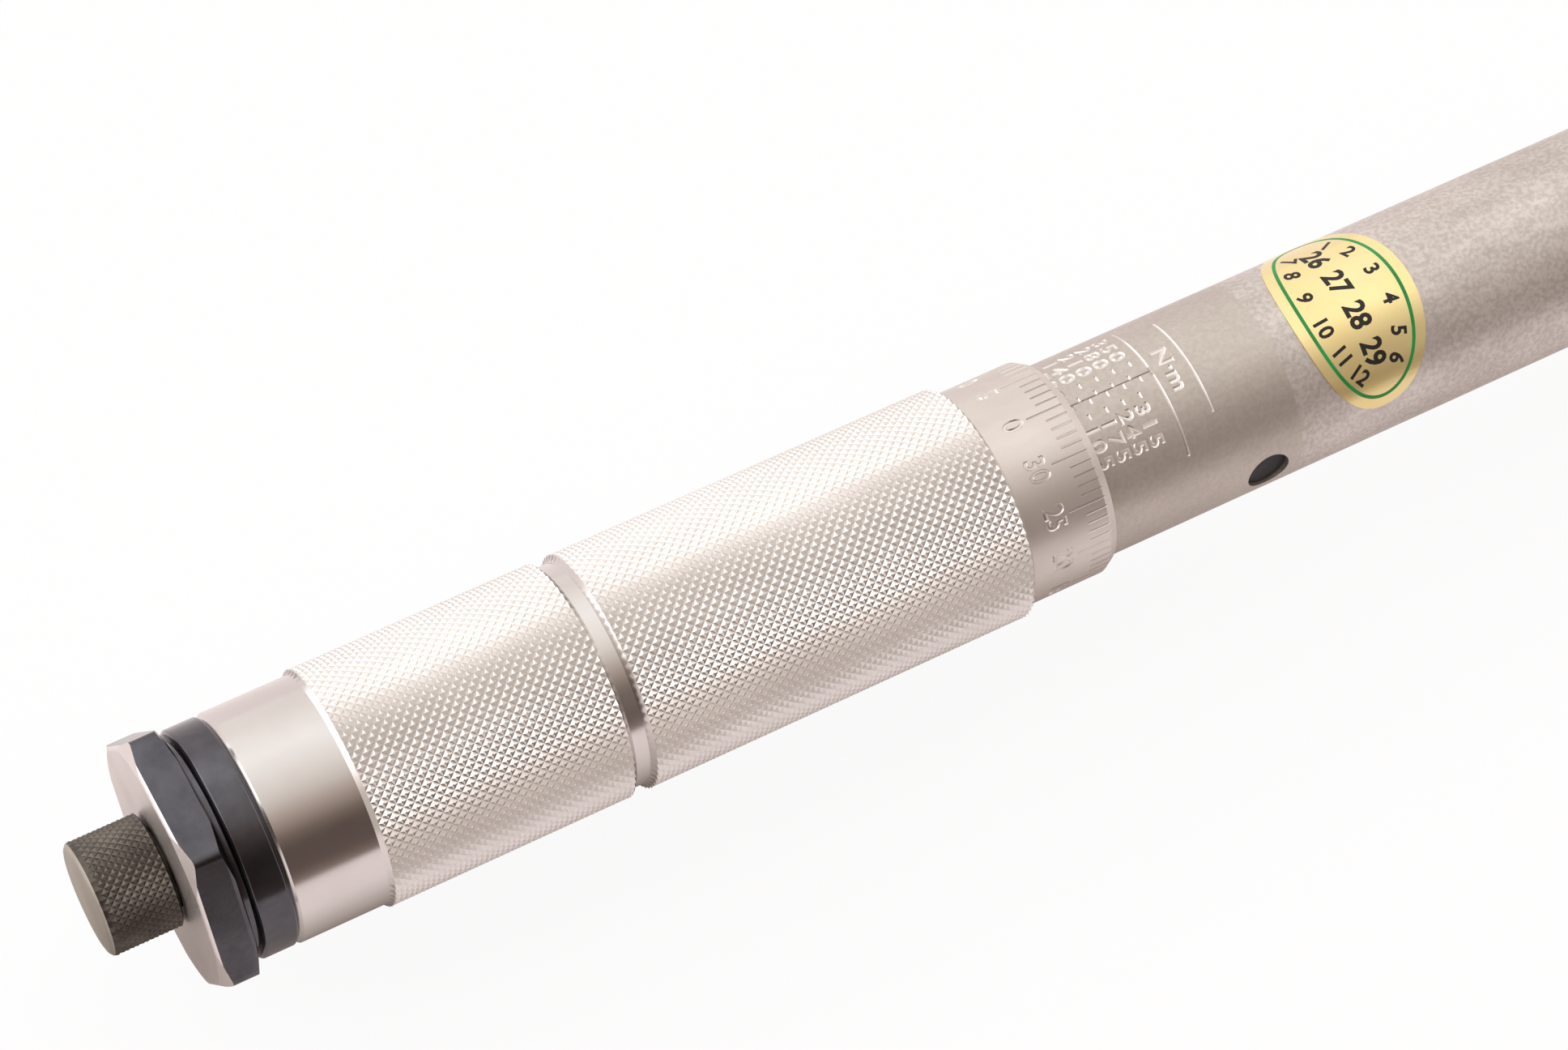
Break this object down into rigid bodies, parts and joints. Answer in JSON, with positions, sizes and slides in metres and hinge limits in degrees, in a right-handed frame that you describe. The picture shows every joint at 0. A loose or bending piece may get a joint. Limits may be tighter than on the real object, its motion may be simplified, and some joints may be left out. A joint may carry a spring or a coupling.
{
  "type": "micrometer torque wrench",
  "caption": "Click-type torque wrench with a knurled micrometer handle, graduated tube, lock knob and reversible ratchet head with a square drive.",
  "frame": {"origin": "centre of the square drive's end face", "axes": "+X from the handle to the head along the tube, +Z away from the drive, on the side of the scale and the reversing lever"},
  "size_m": [0.6313, 0.044, 0.0476],
  "materials": {
    "tube_chrome": "satin chrome on drawn steel tube",
    "handle_chrome": "satin chrome, knurled and graduated",
    "head_chrome": "polished chrome on forged steel",
    "drive_steel": "satin chrome on hardened steel",
    "black_oxide": "black oxide on turned steel",
    "label_foil": "gold metallised film, printed",
    "bare_steel": "turned steel, oiled",
    "ball_steel": "polished bearing steel",
    "spring_steel": "tempered spring wire"
  },
  "bodies": {
    "body": {"tube": "tube_chrome", "screw_nut": "bare_steel", "nut_pins": "black_oxide", "pivot_pin": "head_chrome", "inspection_label": "label_foil", "main_spring": "spring_steel"},
    "spring_seat": {"rear_spring_seat": "bare_steel", "thrust_ball": "ball_steel"},
    "handle": {"grip_sleeve": "handle_chrome", "end_cap": "black_oxide", "adjusting_screw": "bare_steel"},
    "rod": {"lock_rod": "bare_steel"},
    "knob": {"lock_knob": "black_oxide", "knob_pin": "bare_steel"},
    "head": {"ratchet_head": "head_chrome", "cover_plate": "head_chrome", "cover_screws": "black_oxide", "pawl_pin": "bare_steel"},
    "plunger": {"plunger": "bare_steel", "push_rod": "bare_steel", "spring_washer": "bare_steel"},
    "block": {"toggle_block": "bare_steel"},
    "drive": {"drive_gear": "drive_steel", "detent_spring": "spring_steel"},
    "ball": {"detent_ball": "ball_steel"},
    "lever": {"reversing_lever": "head_chrome", "lever_clip": "bare_steel", "lever_plunger": "bare_steel", "lever_spring": "spring_steel"},
    "pawl": {"pawl": "bare_steel"}
  },
  "joints": [
    {"name": "seat_slide", "type": "slide", "parent": "body", "child": "spring_seat", "axis": [1, 0, 0], "range_m": [0, 0.00847], "deforming": ["main_spring"]},
    {"name": "handle_turn", "type": "hinge", "parent": "spring_seat", "child": "handle", "pos_m": [-0.53, 0, 0.0285], "axis": [1, 0, 0], "range_deg": [0, 1440]},
    {"name": "lock_rod_slide", "type": "slide", "parent": "handle", "child": "rod", "axis": [-1, 0, 0], "range_m": [0, 0.00187]},
    {"name": "lock_knob_turn", "type": "hinge", "parent": "rod", "child": "knob", "pos_m": [-0.603, 0, 0.0285], "axis": [-1, 0, 0], "range_deg": [0, 540]},
    {"name": "head_click", "type": "hinge", "parent": "body", "child": "head", "pos_m": [-0.062, 0, 0.0285], "axis": [0, 0, 1], "range_deg": [0, 2.5], "stiffness_Nm_per_rad": 40, "springref_deg": -1.15},
    {"name": "plunger_slide", "type": "slide", "parent": "body", "child": "plunger", "axis": [1, 0, 0], "range_m": [-0.0022, 0], "deforming": ["main_spring"]},
    {"name": "block_tip", "type": "hinge", "parent": "plunger", "child": "block", "pos_m": [-0.1293, -0.0045, 0.0285], "axis": [0, 0, 1], "range_deg": [-15, 0]},
    {"name": "drive_spin", "type": "hinge", "parent": "head", "child": "drive", "pos_m": [0, 0, 0.0285], "axis": [0, 0, 1], "continuous": true},
    {"name": "ball_press", "type": "slide", "parent": "drive", "child": "ball", "axis": [0, 1, 0], "range_m": [0, 0.0008], "stiffness_N_per_m": 2000, "springref_m": -0.0005, "deforming": ["detent_spring"]},
    {"name": "lever_turn", "type": "hinge", "parent": "head", "child": "lever", "pos_m": [-0.027, 0, 0.0285], "axis": [0, 0, 1], "range_deg": [0, 50]},
    {"name": "pawl_rock", "type": "hinge", "parent": "head", "child": "pawl", "pos_m": [-0.0174, 0, 0.0285], "axis": [0, 0, 1], "range_deg": [-16.5, 0]}
  ],
  "couplings": [
    {"joint": "handle_turn", "follows": "seat_slide", "rad_per_m": 2968.4},
    {"joint": "lock_knob_turn", "follows": "lock_rod_slide", "rad_per_m": 5026.5},
    {"joint": "plunger_slide", "follows": "head_click", "m_per_rad": -0.0483},
    {"joint": "block_tip", "follows": "head_click", "ratio": -5.8},
    {"joint": "pawl_rock", "follows": "lever_turn", "ratio": -0.32}
  ]
}
